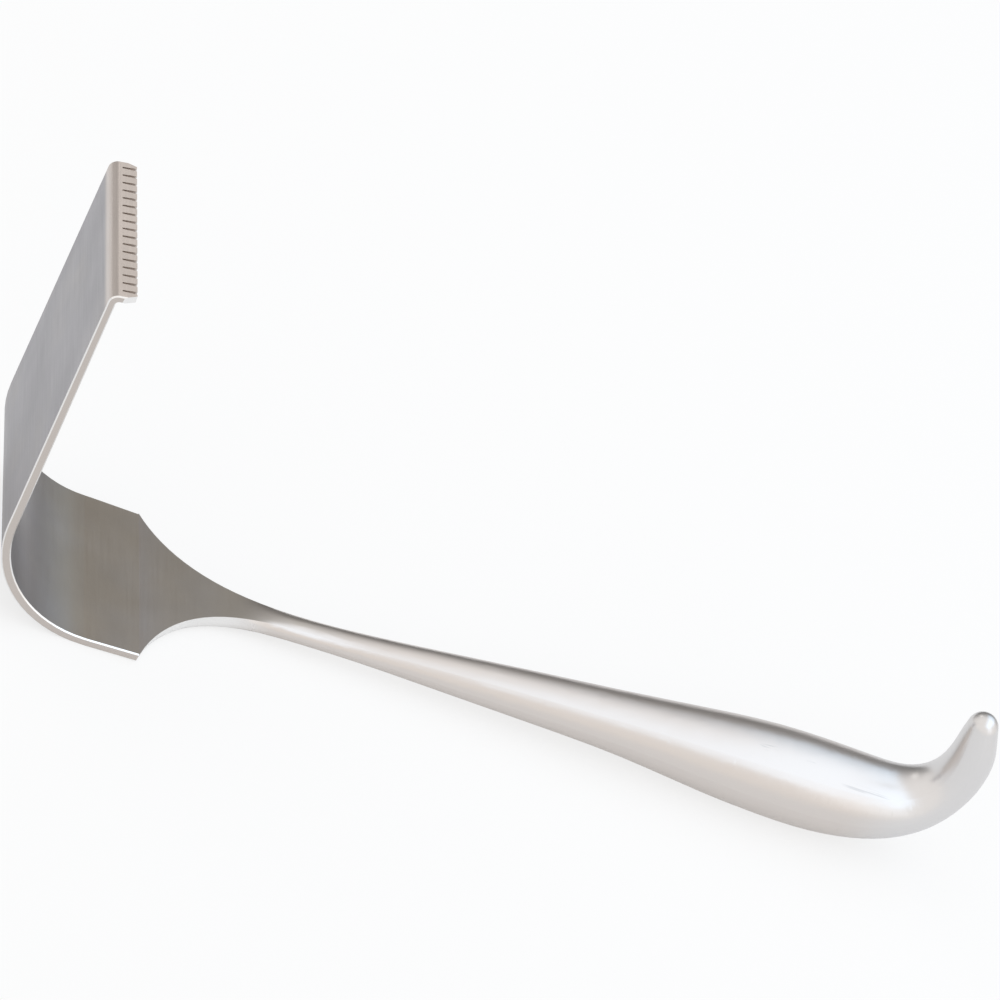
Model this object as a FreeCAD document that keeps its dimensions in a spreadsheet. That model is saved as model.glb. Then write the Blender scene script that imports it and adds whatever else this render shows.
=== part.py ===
import FreeCAD, Part
import math
import os
import Sketcher
from FreeCAD import Placement, Rotation, Vector

# Handheld surgical retractor, forged and ground from one bar of stainless steel.
# X runs from the blade along the handle, Y across the blade, Z up the way the blade stands.
# The shoulder's underside is at Z = 0 and the bend's outer side at X = 0 until the last step,
# which lays the finished piece down as it rests: on its bend and the belly of its grip.

# Driving dimensions in millimetres and degrees
DIMENSIONS = {
    # flat strip that makes the blade, the bend and the shoulder
    "blade_width": 50.0,
    "lip_narrowing": 1.0,
    "corner_narrowing": 0.45,
    "plate_thickness": 2.2,
    "tip_thickness": 1.8,
    "bend_radius": 29.6,
    "blade_lean": 4.4,
    "blade_straight": 68.5,
    "taper_gap": 1.5,
    "edge_break": 0.3,
    # toothed lip
    "lip_radius": 2.2,
    "lip_inner_radius": 0.8,
    "lip_slope": 10.0,
    "lip_flat": 3.9,
    # from the lip's side to the middle of its first slot
    "end_tooth": 2.24,
    "slot_depth": 3.3,
    "slot_root_width": 0.45,
    "slot_mouth_width": 0.9,
    "end_tooth_taper": 1.2,
    # two scallops that narrow the shoulder to the neck, and the face that rises between them
    "scallop_radius": 32.4,
    "scallop_end": 73.8,
    "scallop_gap": 7.6,
    "early_top": 3.2,
    "early_round": 1.1,
    "middle_top": 4.05,
    "middle_round": 1.9,
    "late_top": 4.6,
    "late_round": 2.3,
    # handle from the neck to the end of the grip
    "neck_along": 80.0,
    "grip_length": 151.0,
    "neck_level": 3.4,
    "neck_width": 7.2,
    "neck_height": 5.4,
    "stem_level": 4.0,
    "stem_width": 7.5,
    "stem_height": 6.2,
    "fore_level": 5.0,
    "fore_width": 9.8,
    "fore_height": 8.8,
    "mid_level": 6.2,
    "mid_width": 13.2,
    "mid_height": 11.8,
    "rear_level": 7.1,
    "rear_width": 17.0,
    "rear_height": 15.1,
    "swell_level": 7.3,
    "swell_width": 21.8,
    "swell_height": 19.5,
    "palm_level": 7.5,
    "palm_width": 24.3,
    "palm_height": 21.7,
    "heel_level": 7.8,
    "heel_width": 23.6,
    "heel_height": 21.1,
    # hook, measured out and up from the end of the grip
    "root_out": 6.4,
    "root_up": 1.8,
    "root_turn": 18.0,
    "root_width": 21.2,
    "root_height": 19.0,
    "bend_out": 15.6,
    "bend_up": 6.1,
    "bend_turn": 44.0,
    "bend_width": 17.2,
    "bend_height": 15.7,
    "rise_out": 20.7,
    "rise_up": 14.3,
    "rise_turn": 74.0,
    "rise_width": 13.7,
    "rise_height": 12.9,
    "finger_out": 21.0,
    "finger_up": 24.7,
    "finger_turn": 96.0,
    "finger_width": 11.2,
    "finger_height": 11.1,
    "tip_out": 18.5,
    "tip_up": 33.95,
    "tip_turn": 106.0,
    "tip_width": 7.6,
    # how far a cut runs past the metal it takes away
    "overcut": 2.0,
}

# Where along the grip each section stands, as a part of the grip's length
GRIP_SECTIONS = {
    "neck": 0.0,
    "stem": 0.12,
    "fore": 0.265,
    "mid": 0.43,
    "rear": 0.6,
    "swell": 0.75,
    "palm": 0.875,
    "heel": 0.975,
}
HOOK_SECTIONS = ("root", "bend", "rise", "finger")

# How far each section of the shoulder has still to turn along the scallops' arcs, in degrees
SCALLOP_SECTIONS = {"early": 54, "middle": 37, "late": 22}

SLOTS = 17

doc = FreeCAD.newDocument("retractor")
sheet = doc.addObject("Spreadsheet::Sheet", "Sizes")
for row, (alias, size) in enumerate(DIMENSIONS.items(), start=1):
    sheet.set(f"A{row}", alias.replace("_", " "))
    sheet.set(f"B{row}", str(size))
    sheet.setAlias(f"B{row}", alias)
body = doc.addObject("PartDesign::Body", "retractor")
doc.recompute()


def value(expression):
    """The number that an expression on the sheet's cells gives."""
    return float(body.evalExpression(expression))


def origin_feature(role):
    """The body's own origin plane or axis of that role."""
    return next(feature for feature in body.Origin.OriginFeatures if feature.Role == role)


def new_sketch(name, role):
    """An empty sketch on one of the body's origin planes."""
    sketch = body.newObject("Sketcher::SketchObject", name)
    sketch.AttachmentSupport = (origin_feature(role), [""])
    sketch.MapMode = "FlatFace"
    return sketch


def constrain(sketch, kind, *where):
    """A geometric constraint."""
    sketch.addConstraint(Sketcher.Constraint(kind, *where))


def dimension(sketch, kind, where, name, expression):
    """A dimension bound to the sheet."""
    size = value(expression)
    if kind == "Angle":
        size = math.radians(size)
    index = sketch.addConstraint(Sketcher.Constraint(kind, *where, size))
    sketch.renameConstraint(index, name)
    unit = " * 1 deg" if kind == "Angle" else ""
    sketch.setExpression(f"Constraints.{name}", f"({expression}){unit}")


def feature(kind, name, sizes, **settings):
    """A feature of the body with its settings and its sizes bound to the sheet, as the new tip."""
    item = body.newObject(kind, name)
    for setting, content in settings.items():
        setattr(item, setting, content)
    for size, expression in sizes.items():
        item.setExpression(size, expression)
    body.Tip = item
    doc.recompute()
    return item


def arc(centre, radius, start, end):
    """An arc of a circle from one point to another, anticlockwise."""
    angles = [math.atan2(point.y - centre.y, point.x - centre.x) for point in (start, end)]
    return Part.ArcOfCircle(Part.Circle(centre, Vector(0, 0, 1), radius), *angles)


def polygon(sketch, points):
    """A closed outline whose corners are bound to the sheet, each corner a pair of expressions."""
    corners = [Vector(value(across), value(up), 0) for across, up in points]
    first = sketch.GeometryCount
    count = len(corners)
    for start, end in zip(corners, corners[1:] + corners[:1]):
        sketch.addGeometry(Part.LineSegment(start, end))
    for number, (across, up) in enumerate(points):
        line = first + number
        constrain(sketch, "Coincident", line, 2, first + (number + 1) % count, 1)
        dimension(sketch, "DistanceX", (-1, 1, line, 1), f"across_{line}", across)
        dimension(sketch, "DistanceY", (-1, 1, line, 1), f"up_{line}", up)


# Half of the blade's width at its foot and at its lip, and where the plate ends in its two corners
HALF_BLADE = "Sizes.blade_width / 2"
HALF_LIP = "(Sizes.blade_width / 2 - Sizes.lip_narrowing)"
HALF_CORNER = "(Sizes.blade_width / 2 - Sizes.corner_narrowing)"
SCALLOP_RISE = f"(Sizes.scallop_radius - {HALF_CORNER} + Sizes.scallop_gap / 2)"
CORNER_ALONG = f"Sizes.scallop_end - sqrt(Sizes.scallop_radius ^ 2 - {SCALLOP_RISE} ^ 2)"

# The lip's free edge on its outer face, reached by way of the bend, the blade and the lip's own bend
LIP_END_ALONG = (
    "Sizes.bend_radius * (1 - cos(Sizes.blade_lean)) - Sizes.blade_straight * sin(Sizes.blade_lean)"
    " + Sizes.lip_radius * (cos(Sizes.blade_lean) - sin(Sizes.lip_slope))"
    " + Sizes.lip_flat * cos(Sizes.lip_slope)"
)
LIP_END_UP = (
    "Sizes.bend_radius * (1 - sin(Sizes.blade_lean)) + Sizes.blade_straight * cos(Sizes.blade_lean)"
    " + Sizes.lip_radius * (sin(Sizes.blade_lean) + cos(Sizes.lip_slope))"
    " + Sizes.lip_flat * sin(Sizes.lip_slope)"
)
SLOT_ROOT_ALONG = f"{LIP_END_ALONG} - Sizes.slot_depth"

# How fast the fingertip narrows, so that the ball at its end carries the taper on
TIP_SLOPE = (
    "((Sizes.finger_height - Sizes.tip_width) / 2"
    " / sqrt((Sizes.finger_out - Sizes.tip_out) ^ 2 + (Sizes.tip_up - Sizes.finger_up) ^ 2))"
)


def make_strip():
    """The bent strip: shoulder, bend, blade and lip in one side profile, padded to the blade's width."""
    radius = value("Sizes.bend_radius")
    lean = math.radians(value("Sizes.blade_lean"))
    slope = math.radians(value("Sizes.lip_slope"))
    plate = value("Sizes.plate_thickness")
    tip = value("Sizes.tip_thickness")
    lip_radius = value("Sizes.lip_radius")
    inner_radius = value("Sizes.lip_inner_radius")
    corner = value(CORNER_ALONG)
    up_blade = Vector(-math.sin(lean), math.cos(lean), 0)
    into_blade = Vector(math.cos(lean), math.sin(lean), 0)
    along_lip = Vector(math.cos(slope), math.sin(slope), 0)
    out_of_lip = Vector(-math.sin(slope), math.cos(slope), 0)

    bend_centre = Vector(radius, radius, 0)
    foot = bend_centre - into_blade * radius
    head = foot + up_blade * value("Sizes.blade_straight")
    lip_centre = head + into_blade * lip_radius
    lip_start = lip_centre + out_of_lip * lip_radius
    lip_end = lip_start + along_lip * value("Sizes.lip_flat")
    lip_inner_end = lip_end - out_of_lip * tip
    inner_centre = lip_centre + (up_blade - into_blade) * (lip_radius - tip - inner_radius)
    lip_inner_start = inner_centre + out_of_lip * inner_radius
    inner_head = inner_centre - into_blade * inner_radius
    inner_foot = foot + into_blade * plate

    sketch = new_sketch("strip_profile", "XZ_Plane")
    sketch.addGeometry(Part.LineSegment(Vector(corner, 0, 0), Vector(radius, 0, 0)))
    sketch.addGeometry(arc(bend_centre, radius, foot, Vector(radius, 0, 0)))
    sketch.addGeometry(Part.LineSegment(foot, head))
    sketch.addGeometry(arc(lip_centre, lip_radius, lip_start, head))
    sketch.addGeometry(Part.LineSegment(lip_start, lip_end))
    sketch.addGeometry(Part.LineSegment(lip_end, lip_inner_end))
    sketch.addGeometry(Part.LineSegment(lip_inner_end, lip_inner_start))
    sketch.addGeometry(arc(inner_centre, inner_radius, lip_inner_start, inner_head))
    sketch.addGeometry(Part.LineSegment(inner_head, inner_foot))
    sketch.addGeometry(arc(bend_centre, radius - plate, inner_foot, Vector(radius, plate, 0)))
    sketch.addGeometry(Part.LineSegment(Vector(radius, plate, 0), Vector(corner, plate, 0)))
    sketch.addGeometry(Part.LineSegment(Vector(corner, plate, 0), Vector(corner, 0, 0)))
    underside, bend, outer, lip_bend, lip_face, free_edge = range(6)
    lip_inside, lip_corner, inner, inner_bend, top, end = range(6, 12)

    constrain(sketch, "Tangent", underside, 2, bend, 2)
    constrain(sketch, "Tangent", bend, 1, outer, 1)
    constrain(sketch, "Tangent", outer, 2, lip_bend, 2)
    constrain(sketch, "Tangent", lip_bend, 1, lip_face, 1)
    constrain(sketch, "Coincident", lip_face, 2, free_edge, 1)
    constrain(sketch, "Perpendicular", lip_face, free_edge)
    constrain(sketch, "Coincident", free_edge, 2, lip_inside, 1)
    constrain(sketch, "Parallel", lip_inside, lip_face)
    constrain(sketch, "Tangent", lip_inside, 2, lip_corner, 1)
    constrain(sketch, "Tangent", lip_corner, 2, inner, 1)
    constrain(sketch, "Coincident", inner, 2, inner_bend, 1)
    constrain(sketch, "Coincident", inner_bend, 3, bend, 3)
    constrain(sketch, "Tangent", inner_bend, 2, top, 1)
    constrain(sketch, "Horizontal", top)
    constrain(sketch, "Coincident", top, 2, end, 1)
    constrain(sketch, "Vertical", end)
    constrain(sketch, "Coincident", end, 2, underside, 1)
    constrain(sketch, "PointOnObject", underside, 1, -1)
    constrain(sketch, "PointOnObject", underside, 2, -1)

    dimension(sketch, "DistanceX", (-1, 1, underside, 1), "corner", CORNER_ALONG)
    dimension(sketch, "DistanceX", (-1, 1, bend, 3), "bend_centre", "Sizes.bend_radius")
    dimension(sketch, "Radius", (bend,), "bend_radius", "Sizes.bend_radius")
    dimension(sketch, "Angle", (outer,), "lean", "90 + Sizes.blade_lean")
    dimension(sketch, "Distance", (outer,), "straight", "Sizes.blade_straight")
    dimension(sketch, "Radius", (lip_bend,), "lip_radius", "Sizes.lip_radius")
    dimension(sketch, "Angle", (lip_face,), "slope", "Sizes.lip_slope")
    dimension(sketch, "Distance", (lip_face,), "flat", "Sizes.lip_flat")
    dimension(sketch, "Distance", (free_edge,), "lip_thickness", "Sizes.tip_thickness")
    dimension(sketch, "Distance", (outer, 2, inner), "blade_taper", "Sizes.tip_thickness")
    dimension(sketch, "Radius", (lip_corner,), "lip_inner_radius", "Sizes.lip_inner_radius")
    dimension(sketch, "Radius", (inner_bend,), "inner_radius", "Sizes.bend_radius - Sizes.plate_thickness")
    dimension(sketch, "DistanceX", (inner, 2, inner_bend, 3), "inner_foot",
              "(Sizes.bend_radius - Sizes.plate_thickness) * cos(Sizes.blade_lean)")
    doc.recompute()
    feature("PartDesign::Pad", "strip", {"Length": "Sizes.blade_width"}, Profile=sketch, SideType="Symmetric")


def cut(name, sketch, sizes, **settings):
    """A pocket, checked to take material away."""
    before = body.Shape.Volume
    item = feature("PartDesign::Pocket", name, sizes, Profile=sketch, **settings)
    if body.Shape.Volume > before - 0.1:
        raise RuntimeError(f"{name} cuts nothing")
    return item


def make_tapers():
    """The blade is ground a little narrower towards its lip, and the shoulder towards its corners."""
    blade = new_sketch("blade_sides", "YZ_Plane")
    shoulder = new_sketch("shoulder_sides", "XY_Plane")
    start = "Sizes.bend_radius + Sizes.taper_gap"
    for side in ("", "-1 * "):
        polygon(blade, [
            (f"{side}({HALF_BLADE})", start),
            (f"{side}({HALF_LIP})", f"{LIP_END_UP} + Sizes.overcut"),
            (f"{side}({HALF_BLADE} + Sizes.overcut)", f"{LIP_END_UP} + Sizes.overcut"),
        ])
        polygon(shoulder, [
            (start, f"{side}({HALF_BLADE})"),
            (CORNER_ALONG, f"{side}({HALF_CORNER})"),
            (CORNER_ALONG, f"{side}({HALF_BLADE} + Sizes.overcut)"),
        ])
    doc.recompute()
    cut("blade_taper", blade, {}, Type="ThroughAll", SideType="Symmetric")
    cut("shoulder_taper", shoulder, {}, Type="ThroughAll", SideType="Symmetric")


def side_faces(edge):
    """How many of the faces that meet at an edge are sides of the strip."""
    faces = body.Shape.ancestorsOfType(edge, Part.Face)
    return sum(abs(face.normalAt(0, 0).y) > 0.9 for face in faces)


def make_edge_breaks():
    """The long edges of blade, bend and shoulder are broken by a small chamfer."""
    before_end = value(CORNER_ALONG) - value("Sizes.edge_break")
    names = []
    for number, edge in enumerate(body.Shape.Edges, start=1):
        if side_faces(edge) == 1 and edge.BoundBox.XMin < before_end:
            names.append(f"Edge{number}")
    feature("PartDesign::Chamfer", "edge_breaks", {"Size": "Sizes.edge_break"}, Base=(body.Tip, names))


def make_teeth():
    """Slots filed across the lip from its free edge leave the teeth; the two end teeth narrow outward."""
    above = f"{LIP_END_UP} + Sizes.overcut"
    depth = f"Sizes.tip_thickness + Sizes.slot_depth * sin(Sizes.lip_slope) + 2 * Sizes.overcut"
    mouth = f"{LIP_END_ALONG} + Sizes.overcut"
    overshoot = "(Sizes.slot_depth + Sizes.overcut) / Sizes.slot_depth"
    flare = f"(Sizes.slot_mouth_width - Sizes.slot_root_width) / 2 * {overshoot}"

    ends = new_sketch("end_tooth_sides", "XY_Plane")
    for side in ("", "-1 * "):
        polygon(ends, [
            (SLOT_ROOT_ALONG, f"{side}({HALF_LIP} + Sizes.edge_break)"),
            (mouth, f"{side}({HALF_LIP} - Sizes.end_tooth_taper * {overshoot})"),
            (mouth, f"{side}({HALF_LIP} + Sizes.overcut)"),
            (SLOT_ROOT_ALONG, f"{side}({HALF_LIP} + Sizes.overcut)"),
        ])
    slot = new_sketch("slot_outline", "XY_Plane")
    first = f"-1 * ({HALF_LIP} - Sizes.end_tooth)"
    polygon(slot, [
        (SLOT_ROOT_ALONG, f"{first} - Sizes.slot_root_width / 2"),
        (mouth, f"{first} - Sizes.slot_root_width / 2 - {flare}"),
        (mouth, f"{first} + Sizes.slot_root_width / 2 + {flare}"),
        (SLOT_ROOT_ALONG, f"{first} + Sizes.slot_root_width / 2"),
    ])
    for sketch in (ends, slot):
        sketch.AttachmentOffset = Placement(Vector(0, 0, value(above)), Rotation())
        sketch.setExpression("AttachmentOffset.Base.z", above)
    doc.recompute()
    cut("end_teeth", ends, {"Length": depth})
    first_slot = cut("slot", slot, {"Length": depth})
    feature("PartDesign::LinearPattern", "slots", {"Length": f"2 * ({HALF_LIP} - Sizes.end_tooth)"},
            Originals=[first_slot], Direction=(origin_feature("Y_Axis"), [""]), Occurrences=SLOTS)


def place_section(sketch, along, level="0", turn=None):
    """Stands a section sketch across the handle, turned up with the hook where a turn is given."""
    tilt = Rotation(Vector(1, 0, 0), -value(turn)) if turn else Rotation()
    sketch.AttachmentOffset = Placement(Vector(0, value(level), value(along)), tilt)
    sketch.setExpression("AttachmentOffset.Base.y", level)
    sketch.setExpression("AttachmentOffset.Base.z", along)
    if turn:
        sketch.setExpression("AttachmentOffset.Rotation.Angle", f"-1 * {turn} * 1 deg")


def plate_section(name, along, half_width, top, corner_round):
    """A section with a flat top and underside and rounded lower corners, as on the shoulder."""
    half = value(half_width)
    high = value(top)
    low = value(corner_round)
    sketch = new_sketch(f"{name}_section", "YZ_Plane")
    sketch.addGeometry(Part.LineSegment(Vector(half, high, 0), Vector(-half, high, 0)))
    sketch.addGeometry(Part.LineSegment(Vector(-half, high, 0), Vector(-half, low, 0)))
    sketch.addGeometry(arc(Vector(low - half, low, 0), low, Vector(-half, low, 0), Vector(low - half, 0, 0)))
    sketch.addGeometry(Part.LineSegment(Vector(low - half, 0, 0), Vector(half - low, 0, 0)))
    sketch.addGeometry(arc(Vector(half - low, low, 0), low, Vector(half - low, 0, 0), Vector(half, low, 0)))
    sketch.addGeometry(Part.LineSegment(Vector(half, low, 0), Vector(half, high, 0)))
    face, left, left_round, underside, right_round, right = range(6)
    constrain(sketch, "Coincident", face, 2, left, 1)
    constrain(sketch, "Tangent", left, 2, left_round, 1)
    constrain(sketch, "Tangent", left_round, 2, underside, 1)
    constrain(sketch, "Tangent", underside, 2, right_round, 1)
    constrain(sketch, "Tangent", right_round, 2, right, 1)
    constrain(sketch, "Coincident", right, 2, face, 1)
    constrain(sketch, "Vertical", left)
    constrain(sketch, "Vertical", right)
    constrain(sketch, "Symmetric", face, 1, face, 2, -2)
    constrain(sketch, "PointOnObject", underside, 1, -1)
    constrain(sketch, "PointOnObject", underside, 2, -1)
    constrain(sketch, "Equal", left_round, right_round)
    dimension(sketch, "DistanceX", (-1, 1, face, 1), "half_width", half_width)
    dimension(sketch, "DistanceY", (-1, 1, face, 1), "top", top)
    dimension(sketch, "Radius", (right_round,), "corner_round", corner_round)
    place_section(sketch, along)
    return sketch


def oval_section(name, along, level, turn, width, height):
    """An oval of four tangent arcs, the side arcs each in two halves so that it pairs with a plate section."""
    half = f"({width} / 2)"
    rise = f"({height} / 2)"
    join_out = f"({half} * sqrt(0.5))"
    spread = f"({half} - {rise})"
    join_up = (f"((sqrt({spread} ^ 2 + 4 * ({join_out} + {rise}) * ({half} - {join_out}))"
               f" - {spread}) / 2)")
    top_radius = f"(({join_out} ^ 2 + ({rise} - {join_up}) ^ 2) / (2 * ({rise} - {join_up})))"
    side_radius = f"(({join_up} ^ 2 + ({half} - {join_out}) ^ 2) / (2 * ({half} - {join_out})))"

    x, y = value(join_out), value(join_up)
    corners = [Vector(x, y, 0), Vector(-x, y, 0), Vector(-x, -y, 0), Vector(x, -y, 0)]
    left_point = Vector(-value(half), 0, 0)
    right_point = Vector(value(half), 0, 0)
    top_centre = Vector(0, value(rise) - value(top_radius), 0)
    side_centre = Vector(value(half) - value(side_radius), 0, 0)
    flat, tight = value(top_radius), value(side_radius)
    sketch = new_sketch(f"{name}_section", "YZ_Plane")
    sketch.addGeometry(arc(top_centre, flat, corners[0], corners[1]))
    sketch.addGeometry(arc(-side_centre, tight, corners[1], left_point))
    sketch.addGeometry(arc(-side_centre, tight, left_point, corners[2]))
    sketch.addGeometry(arc(-top_centre, flat, corners[2], corners[3]))
    sketch.addGeometry(arc(side_centre, tight, corners[3], right_point))
    sketch.addGeometry(arc(side_centre, tight, right_point, corners[0]))
    top, left_upper, left_lower, bottom, right_lower, right_upper = range(6)
    for number in range(6):
        constrain(sketch, "Coincident", number, 2, (number + 1) % 6, 1)
    constrain(sketch, "Symmetric", top, 1, top, 2, -2)
    constrain(sketch, "Symmetric", bottom, 1, bottom, 2, -2)
    constrain(sketch, "Symmetric", top, 1, bottom, 2, -1)
    constrain(sketch, "PointOnObject", right_lower, 2, -1)
    constrain(sketch, "Symmetric", right_lower, 2, left_upper, 2, -2)
    constrain(sketch, "Equal", top, bottom)
    for number in (left_upper, left_lower, right_lower):
        constrain(sketch, "Equal", right_upper, number)
    dimension(sketch, "DistanceX", (-1, 1, top, 1), "join_out", join_out)
    dimension(sketch, "DistanceY", (-1, 1, top, 1), "join_up", join_up)
    dimension(sketch, "DistanceX", (-1, 1, right_lower, 2), "half_width", half)
    dimension(sketch, "Radius", (top,), "top_radius", top_radius)
    dimension(sketch, "Radius", (right_upper,), "side_radius", side_radius)
    place_section(sketch, along, level, turn)
    return sketch


def make_handle():
    """One loft from the plate's end through the neck and the grip to the hook, and a ball for its tip."""
    sections = [plate_section("corner", CORNER_ALONG, HALF_CORNER, "Sizes.plate_thickness", "Sizes.edge_break")]
    for name, angle in SCALLOP_SECTIONS.items():
        sections.append(plate_section(
            name,
            f"Sizes.scallop_end - Sizes.scallop_radius * sin({angle})",
            f"Sizes.scallop_gap / 2 + Sizes.scallop_radius * (1 - cos({angle}))",
            f"Sizes.{name}_top",
            f"Sizes.{name}_round",
        ))
    for name, part in GRIP_SECTIONS.items():
        along = f"Sizes.neck_along + {part} * Sizes.grip_length"
        sections.append(oval_section(name, along, f"Sizes.{name}_level", None,
                                     f"Sizes.{name}_width", f"Sizes.{name}_height"))
    grip_end = "Sizes.neck_along + Sizes.grip_length"
    grip_level = "Sizes.palm_level"
    for name in HOOK_SECTIONS:
        sections.append(oval_section(name, f"{grip_end} + Sizes.{name}_out", f"{grip_level} + Sizes.{name}_up",
                                     f"Sizes.{name}_turn", f"Sizes.{name}_width", f"Sizes.{name}_height"))
    tip_along = f"{grip_end} + Sizes.tip_out"
    tip_level = f"{grip_level} + Sizes.tip_up"
    sections.append(oval_section("tip", tip_along, tip_level, "Sizes.tip_turn", "Sizes.tip_width", "Sizes.tip_width"))
    doc.recompute()
    feature("PartDesign::AdditiveLoft", "handle", {}, Profile=sections[0], Sections=sections[1:])
    set_back = f"Sizes.tip_width / 2 * {TIP_SLOPE}"
    ball_sizes = {
        "Radius": f"Sizes.tip_width / 2 * sqrt(1 + {TIP_SLOPE} ^ 2)",
        "AttachmentOffset.Base.y": f"{tip_level} - {set_back} * sin(Sizes.tip_turn)",
        "AttachmentOffset.Base.z": f"{tip_along} - {set_back} * cos(Sizes.tip_turn)",
    }
    feature("PartDesign::AdditiveSphere", "fingertip", ball_sizes, MapMode="FlatFace",
            AttachmentSupport=(origin_feature("YZ_Plane"), [""]))


def lower_hull(points):
    """The lower side of the points' convex hull, from low X to high X."""
    hull = []
    for point in sorted(points, key=lambda spot: (spot.x, spot.z)):
        while len(hull) > 1 and (hull[-1] - hull[-2]).cross(point - hull[-2]).y > 0:
            hull.pop()
        hull.append(point)
    return hull


def lay_down(shape):
    """The placement that rests the piece on two points of its side profile, astride its centre of mass."""
    profile = [point for wire in shape.slice(Vector(0, 1, 0), 0) for point in wire.discretize(Distance=0.25)]
    middle = shape.Solids[0].CenterOfMass.x
    hull = lower_hull(profile)
    front, back = next(pair for pair in zip(hull, hull[1:]) if pair[0].x <= middle <= pair[1].x)
    fall = math.degrees(math.atan2(back.z - front.z, back.x - front.x))
    tilt = Rotation(Vector(0, 1, 0), fall)
    tilted = shape.copy()
    tilted.Placement = Placement(Vector(), tilt)
    box = tilted.optimalBoundingBox(False)
    return Placement(Vector(-box.Center.x, -box.Center.y, -box.ZMin), tilt)


make_strip()
make_tapers()
make_edge_breaks()
make_teeth()
make_handle()
body.Label = "retractor"
body.Placement = lay_down(body.Shape)
doc.recompute()

# Nothing is written unless every object is sound
for item in doc.Objects:
    if "Invalid" in item.State or "Error" in item.State:
        raise RuntimeError(f"{item.Name} failed: {item.State}")
if body.Shape.isNull() or not body.Shape.isValid() or len(body.Shape.Solids) != 1:
    raise RuntimeError("the retractor is not one sound solid")
os.makedirs("parts", exist_ok=True)
body.Shape.exportStep(f"parts/{body.Label}.step")
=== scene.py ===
import bpy
import math
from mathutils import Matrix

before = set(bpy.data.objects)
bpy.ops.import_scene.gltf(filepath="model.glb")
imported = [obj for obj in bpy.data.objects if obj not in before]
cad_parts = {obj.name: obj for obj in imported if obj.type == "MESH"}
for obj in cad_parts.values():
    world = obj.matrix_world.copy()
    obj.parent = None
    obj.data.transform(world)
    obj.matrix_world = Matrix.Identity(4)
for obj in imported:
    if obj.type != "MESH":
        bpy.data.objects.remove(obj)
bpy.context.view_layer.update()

# The retractor is one forging of stainless steel: blade, bend, shoulder, neck, grip and hook.
# The strip is ground across its width to a fine grain, and its colour is darkened there as painted shade,
# with a cool painted reflection on faces turned along the blade;
# its flat sides are painted darker as shade and its lip lighter as painted light. Its cut edges are
# polished, their brighter colour a painted highlight, and the handle is left a soft satin with a few
# hairlines on top of the grip; the hook is painted lighter as a painted highlight.
satin_color = (0.665, 0.62, 0.59, 1.0)
satin_roughness = 0.315
# Painted highlight: the hook gets a lighter, cooler colour than the grip.
hook_highlight_color = (0.70, 0.685, 0.68, 1.0)
hook_start = 0.100
hook_full = 0.118
# The two ground colours are darkened as painted shade; the cooler one is also a painted reflection on faces
# turned along the blade.
ground_shaded_warm_color = (0.365, 0.326, 0.28, 1.0)
ground_shaded_cool_color = (0.333, 0.325, 0.343, 1.0)
ground_roughness = 0.36
# Painted light: the lip gets a lighter colour than the rest of the ground.
lip_lit_color = (0.62, 0.565, 0.53, 1.0)
# Painted shade: the flat sides of the strip get a darker colour.
side_shaded_color = (0.57, 0.52, 0.485, 1.0)
# The cut edges are polished, and their brighter colour is a painted highlight.
edge_highlight_color = (0.86, 0.85, 0.84, 1.0)
edge_roughness = 0.2
grind_end = -0.012
edge_end = -0.046
shoulder_end = -0.062
flat_fade = -0.089
flat_end = -0.083
neck_start = -0.045
flat_normal = (-0.0183, 0.0, 0.9998)
side_fade = -0.076
side_end = -0.079
lip_fade = 0.0918
lip_level = 0.0946
grain_pitch = 2600.0
grain_run = 60.0
grain_depth = 0.000004
mottle_pitch = 55.0
mottle_on_satin = 0.06
mottle_on_ground = 0.12
mottle_of_color = 0.9
grain_roughness = 0.2
satin_pitch = 1500.0
satin_depth = 0.0000025
scuffs = (
    {"place": (0.0773, -0.0040, 0.0204), "reach": (0.0046, 0.0011, 0.0020)},
    {"place": (0.0884, -0.0048, 0.0208), "reach": (0.0020, 0.0008, 0.0020)},
    {"place": (0.1043, -0.0072, 0.0198), "reach": (0.0078, 0.0013, 0.0020)},
)
scuff_pitch = 2600.0
scuff_run = 35.0
scuff_depth = 0.000002
scuff_strength = 0.35
scuff_color = (0.36, 0.35, 0.35, 1.0)
cloud_pitch = 60.0
cloud_strength = 0.35

steel = bpy.data.materials.new("satin_steel")
steel.use_nodes = True
tree = steel.node_tree
steel_shader = tree.nodes["Principled BSDF"]


def node(kind, **settings):
    """A node of the material or world being made, with its settings."""
    made = tree.nodes.new(kind)
    for setting, content in settings.items():
        setattr(made, setting, content)
    return made


def feed(socket, content):
    """Gives a socket a link or a plain value."""
    if isinstance(content, bpy.types.NodeSocket):
        tree.links.new(content, socket)
    else:
        socket.default_value = content


def math_of(operation, *terms):
    """One step of arithmetic."""
    step = node("ShaderNodeMath", operation=operation)
    for socket, term in zip(step.inputs, terms):
        feed(socket, term)
    return step.outputs[0]


def fade(reading, start, end):
    """0 where the reading is at the start, 1 at the end, and soft between."""
    low, high = min(start, end), max(start, end)
    ramp = node("ShaderNodeMapRange", interpolation_type="SMOOTHSTEP")
    feed(ramp.inputs["Value"], reading)
    feed(ramp.inputs["From Min"], low)
    feed(ramp.inputs["From Max"], high)
    feed(ramp.inputs["To Min"], 0.0 if end > start else 1.0)
    feed(ramp.inputs["To Max"], 1.0 if end > start else 0.0)
    return ramp.outputs["Result"]


def blend(share, first, second):
    """A colour that goes from the first to the second with the share."""
    mixed = node("ShaderNodeMix", data_type="RGBA")
    feed(mixed.inputs[0], share)
    feed(mixed.inputs[6], first)
    feed(mixed.inputs[7], second)
    return mixed.outputs[2]


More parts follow.
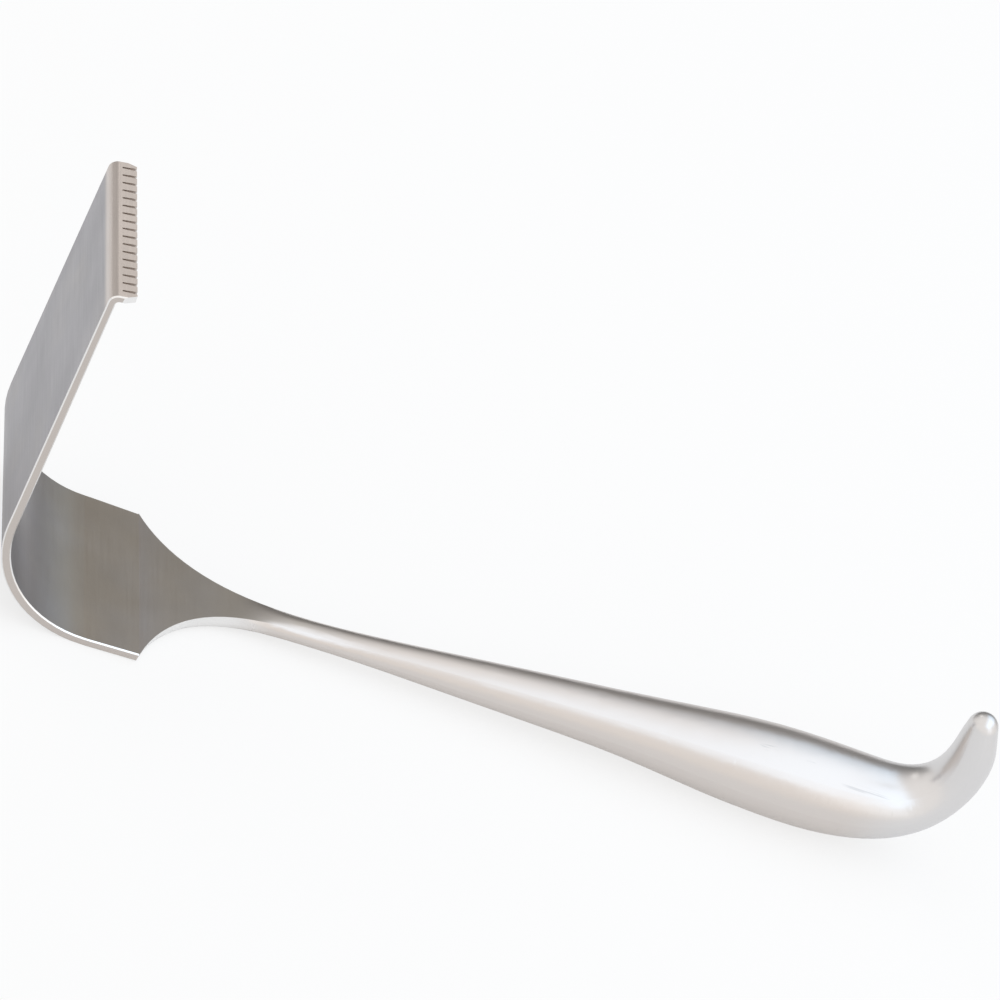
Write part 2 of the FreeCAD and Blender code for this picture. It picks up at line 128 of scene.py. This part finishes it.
def mix_of(share, first, second):
    """A number that goes from the first to the second with the share."""
    mixed = node("ShaderNodeMix", data_type="FLOAT")
    feed(mixed.inputs[0], share)
    feed(mixed.inputs[2], first)
    feed(mixed.inputs[3], second)
    return mixed.outputs[0]


def grain(stretch, fineness):
    """Noise fixed to the piece, stretched along the way the stone or belt ran."""
    shaped = node("ShaderNodeVectorMath", operation="MULTIPLY")
    feed(shaped.inputs[0], where.outputs["Object"])
    feed(shaped.inputs[1], stretch)
    noise = node("ShaderNodeTexNoise")
    feed(noise.inputs["Vector"], shaped.outputs[0])
    feed(noise.inputs["Scale"], 1.0)
    feed(noise.inputs["Detail"], fineness)
    return noise.outputs["Fac"]


where = node("ShaderNodeTexCoord")
place = node("ShaderNodeSeparateXYZ")
facing = node("ShaderNodeSeparateXYZ")
feed(place.inputs[0], where.outputs["Object"])
feed(facing.inputs[0], where.outputs["Normal"])
sideways = math_of("ABSOLUTE", facing.outputs["Y"])

# Which part of the forging a spot belongs to
turned_out = fade(sideways, 0.25, 0.5)
ground = math_of("MULTIPLY", fade(place.outputs["X"], grind_end, shoulder_end),
                 math_of("SUBTRACT", 1.0, turned_out))
cut_edge = math_of("MULTIPLY", fade(place.outputs["X"], edge_end, shoulder_end), turned_out)
flat_side = math_of("MULTIPLY", fade(sideways, 0.95, 0.99), fade(place.outputs["X"], side_fade, side_end))
on_lip = fade(place.outputs["Z"], lip_fade, lip_level)

across_grain = grain((grain_pitch, grain_run, grain_pitch), 3.0)
mottle = grain((mottle_pitch, mottle_pitch, mottle_pitch), 2.0)
satin_grain = grain((satin_pitch, satin_pitch, satin_pitch), 3.0)

# Colour: the ground is darkened as painted shade, warm on the shoulder and cooler on the blade's outer face
# and in the bend, where the cool tint is a painted reflection; the mottle and clouds in it are real random
# tone
away = fade(math_of("ABSOLUTE", facing.outputs["X"]), -0.1, 0.9)
cool_reflection_and_mottle = math_of("ADD", away, math_of("MULTIPLY", math_of("SUBTRACT", mottle, 0.5), mottle_of_color))
clouds = grain((cloud_pitch, cloud_pitch, cloud_pitch), 4.0)
cloudy = node("ShaderNodeVectorMath", operation="SCALE")
feed(cloudy.inputs[0], blend(cool_reflection_and_mottle, ground_shaded_warm_color, ground_shaded_cool_color))
feed(cloudy.inputs["Scale"], math_of("MULTIPLY_ADD", math_of("SUBTRACT", clouds, 0.5), cloud_strength, 1.0))
ground_shaded_color = cloudy.outputs[0]
# Painted highlight: the colour turns lighter and cooler from the grip into the hook.
handle_color = blend(fade(place.outputs["X"], hook_start, hook_full), satin_color, hook_highlight_color)
color = blend(ground, handle_color, ground_shaded_color)
# The cut edges keep their real polish in roughness; their brighter colour is a painted highlight.
color = blend(cut_edge, color, edge_highlight_color)
# Painted shade: the flat sides of the strip are coloured darker.
color = blend(flat_side, color, side_shaded_color)
# Painted light: the lip is coloured lighter than the rest of the ground.
color = blend(math_of("MULTIPLY", on_lip, ground), color, lip_lit_color)

# Roughness, with the grain and the mottling in it
roughness = mix_of(ground, satin_roughness, ground_roughness)
roughness = mix_of(cut_edge, roughness, edge_roughness)
roughness = math_of("MULTIPLY_ADD", math_of("SUBTRACT", mottle, 0.5),
                    mix_of(ground, mottle_on_satin, mottle_on_ground), roughness)
roughness = math_of("MULTIPLY_ADD", math_of("SUBTRACT", across_grain, 0.5),
                    math_of("MULTIPLY", ground, grain_roughness), roughness)

# Fine relief of the ground strip and of the satin handle
relief = math_of("MULTIPLY", across_grain, math_of("MULTIPLY", ground, grain_depth))
satin_relief = math_of("MULTIPLY", satin_grain,
                       math_of("MULTIPLY", math_of("SUBTRACT", 1.0, ground), satin_depth))
relief = math_of("ADD", relief, satin_relief)

# Hairlines on top of the grip
scratch = fade(grain((scuff_run, scuff_pitch, scuff_pitch), 1.0), 0.5, 0.72)
marks = 0.0
for scuff in scuffs:
    offset = node("ShaderNodeVectorMath", operation="SUBTRACT")
    feed(offset.inputs[0], where.outputs["Object"])
    feed(offset.inputs[1], scuff["place"])
    scaled = node("ShaderNodeVectorMath", operation="DIVIDE")
    feed(scaled.inputs[0], offset.outputs[0])
    feed(scaled.inputs[1], scuff["reach"])
    distance = node("ShaderNodeVectorMath", operation="LENGTH")
    feed(distance.inputs[0], scaled.outputs[0])
    marks = math_of("MAXIMUM", marks, fade(distance.outputs["Value"], 1.0, 0.5))
marks = math_of("MULTIPLY", marks, scratch)
relief = math_of("SUBTRACT", relief, math_of("MULTIPLY", marks, scuff_depth))
color = blend(math_of("MULTIPLY", marks, scuff_strength), color, scuff_color)

# The top of the shoulder is shaded with the flat's own normal as far as the neck.
# The solid has a crease there, where its face starts to rise, and this hides it.
levelled = math_of("MULTIPLY", fade(place.outputs["X"], flat_fade, flat_end),
                   fade(place.outputs["X"], neck_start, shoulder_end))
levelled = math_of("MULTIPLY", levelled, fade(facing.outputs["Z"], 0.92, 0.96))
rolled = node("ShaderNodeMix", data_type="VECTOR")
feed(rolled.inputs[0], levelled)
feed(rolled.inputs[4], where.outputs["Normal"])
feed(rolled.inputs[5], flat_normal)
bump = node("ShaderNodeBump")
feed(bump.inputs["Normal"], rolled.outputs[1])
feed(bump.inputs["Strength"], 1.0)
feed(bump.inputs["Distance"], 1.0)
feed(bump.inputs["Height"], relief)
feed(steel_shader.inputs["Base Color"], color)
feed(steel_shader.inputs["Metallic"], 1.0)
feed(steel_shader.inputs["Roughness"], roughness)
feed(steel_shader.inputs["Normal"], bump.outputs["Normal"])

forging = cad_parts["retractor"]
forging.data.materials.clear()
forging.data.materials.append(steel)

# The floor is a pale matte table top, seen as near white and darkened only by the piece's soft shadow.
# Metal mirrors it with more of that shadow in it.
floor_size = 6.0
floor_color = (0.85, 0.85, 0.85, 1.0)
white_share = 0.75
mirrored_share = 0.35

bpy.ops.object.select_all(action="DESELECT")
bpy.ops.mesh.primitive_plane_add(size=floor_size, location=(0.0, 0.0, 0.0))
floor = bpy.context.object
floor.name = "floor"
pale = bpy.data.materials.new("pale_floor")
pale.use_nodes = True
tree = pale.node_tree
tree.nodes.remove(tree.nodes["Principled BSDF"])
matte = node("ShaderNodeBsdfDiffuse")
feed(matte.inputs["Color"], floor_color)
white = node("ShaderNodeEmission")
feed(white.inputs["Strength"], 1.0)
rays = node("ShaderNodeLightPath")
mirrored = math_of("MAXIMUM", rays.outputs["Is Glossy Ray"], rays.outputs["Is Transmission Ray"])
shown = math_of("MAXIMUM", math_of("MULTIPLY", rays.outputs["Is Camera Ray"], white_share),
                math_of("MULTIPLY", mirrored, mirrored_share))
whitened = node("ShaderNodeMixShader")
feed(whitened.inputs[0], shown)
feed(whitened.inputs[1], matte.outputs[0])
feed(whitened.inputs[2], white.outputs[0])
feed(tree.nodes["Material Output"].inputs["Surface"], whitened.outputs[0])
floor.data.materials.append(pale)

# The camera looks down on the piece from the blade's side with a long lens.
camera_data = bpy.data.cameras.new("camera")
camera_data.sensor_width = 36.0
camera_data.lens = 198.0
camera = bpy.data.objects.new("camera", camera_data)
camera.location = (-0.45136, -0.95304, 0.79097)
camera.rotation_euler = [math.radians(turn) for turn in (49.924, -27.366, -3.356)]
bpy.context.scene.collection.objects.link(camera)
bpy.context.scene.camera = camera

# The studio is a warm room, bright in front and dim behind, with one long cool softbox over the grip
# two pale cards behind the blade that light the lip and its bend, and a cool card in front of the hook.
room_color = (1.0, 0.975, 0.95, 1.0)
room_bright_side = (-0.088, -0.967, 0.237)
room_dim = 0.03
room_bright = 1.06
softbox_color = (0.53, 0.76, 1.0)
softbox_watts = 3.24
softbox_length = 2.07
softbox_width = 0.68
back_card_watts = 0.10
front_card_watts = 0.065
front_card_side = 0.24
low_card_watts = 0.037
low_card_side = 0.3
card_color = (1.0, 0.97, 0.94)
front_card_color = (0.80, 0.90, 1.0)
card_width = 0.16
card_height = 0.26

room = bpy.data.worlds.new("studio")
bpy.context.scene.world = room
room.use_nodes = True
tree = room.node_tree
direction = node("ShaderNodeTexCoord")
toward = node("ShaderNodeVectorMath", operation="DOT_PRODUCT")
feed(toward.inputs[0], direction.outputs["Generated"])
feed(toward.inputs[1], room_bright_side)
brightness = mix_of(fade(toward.outputs["Value"], -1.2, 0.055), room_dim, room_bright)
feed(tree.nodes["Background"].inputs["Color"], room_color)
feed(tree.nodes["Background"].inputs["Strength"], brightness)


def area_lamp(name, color, watts, size, place, turn):
    """A flat lamp that the camera itself doesn't see."""
    light = bpy.data.lights.new(name, "AREA")
    light.shape = "RECTANGLE"
    light.color = color
    light.energy = watts
    light.size, light.size_y = size
    lamp = bpy.data.objects.new(name, light)
    lamp.location = place
    lamp.rotation_euler = [math.radians(part) for part in turn]
    lamp.visible_camera = False
    bpy.context.scene.collection.objects.link(lamp)


area_lamp("long_softbox", softbox_color, softbox_watts, (softbox_length, softbox_width),
          (0.491, 0.006, 0.80), (-30.54, -8.27, -103.04))
area_lamp("back_card", card_color, back_card_watts, (card_width, card_height),
          (-0.15, 0.47, 0.47), (-51.0, 0.0, 0.0))
area_lamp("front_card", front_card_color, front_card_watts, (front_card_side, front_card_side),
          (0.38, -0.31, 0.22), (64.8, 0.0, 40.0))
area_lamp("low_card", card_color, low_card_watts, (low_card_side, low_card_side),
          (-0.47, 0.40, 0.23), (75.5, 0.0, -140.1))

bpy.context.scene.view_settings.view_transform = "Standard"
